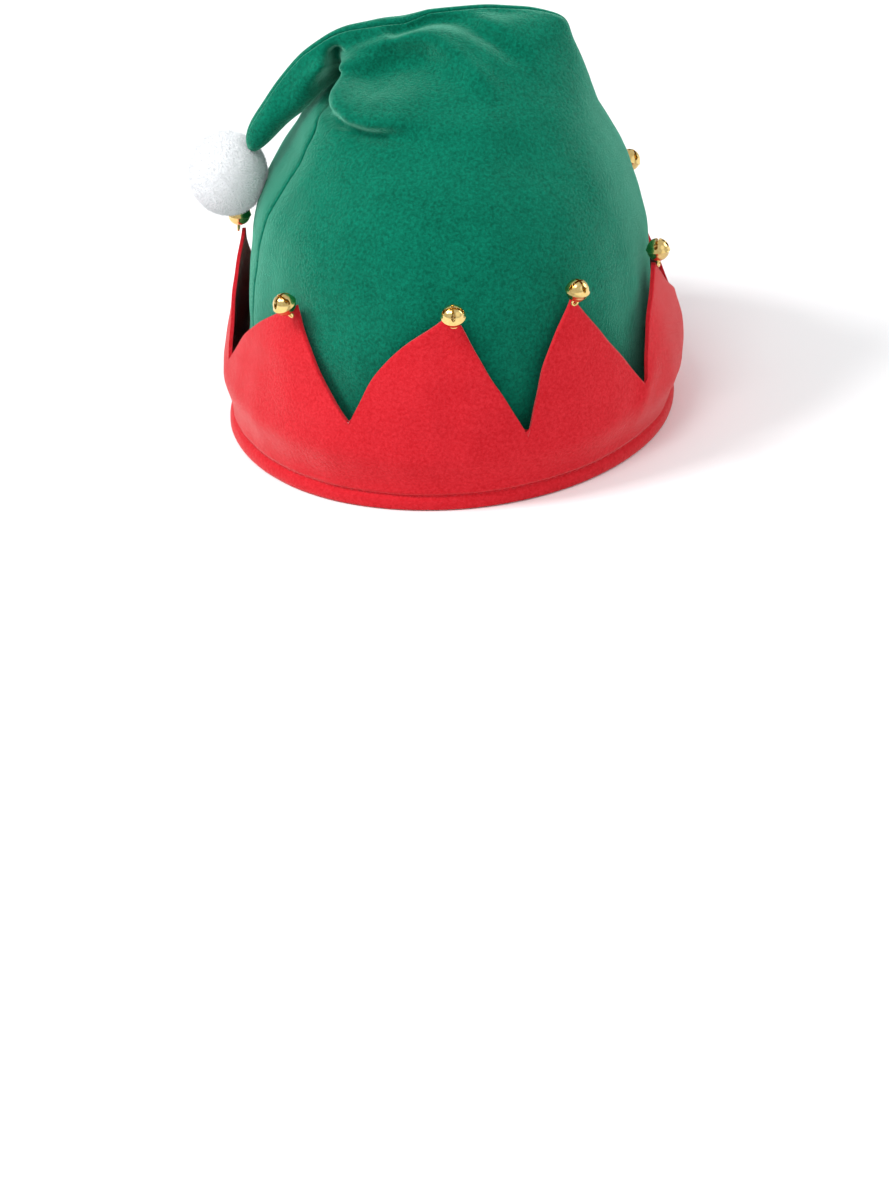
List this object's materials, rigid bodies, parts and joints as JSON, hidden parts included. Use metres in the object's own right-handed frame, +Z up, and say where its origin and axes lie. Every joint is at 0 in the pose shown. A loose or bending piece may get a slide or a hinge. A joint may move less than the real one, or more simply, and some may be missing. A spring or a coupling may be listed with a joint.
{
  "type": "elf hat",
  "caption": "Felt elf hat with a tall peak folded over to one side, a turned-up zigzag cuff with a bell on each point, and a pompom on the peak's end.",
  "frame": {"origin": "on the surface that the hat rests on, under the middle of its bounding box", "axes": "+Z up, +Y towards the hat's front, +X towards its right"},
  "size_m": [0.21, 0.2216, 0.1814],
  "materials": {
    "green_felt": "pressed felt",
    "red_felt": "pressed felt",
    "white_pile": "soft pile",
    "gold_bell": "polished"
  },
  "bodies": {
    "root": {"crown_back_panel": "green_felt", "crown_front_panel": "green_felt", "cuff": "red_felt", "pompom": "white_pile", "bell_1": "gold_bell", "bell_2": "gold_bell", "bell_3": "gold_bell", "bell_4": "gold_bell", "bell_5": "gold_bell", "bell_6": "gold_bell", "bell_7": "gold_bell", "bell_8": "gold_bell"}
  },
  "joints": []
}
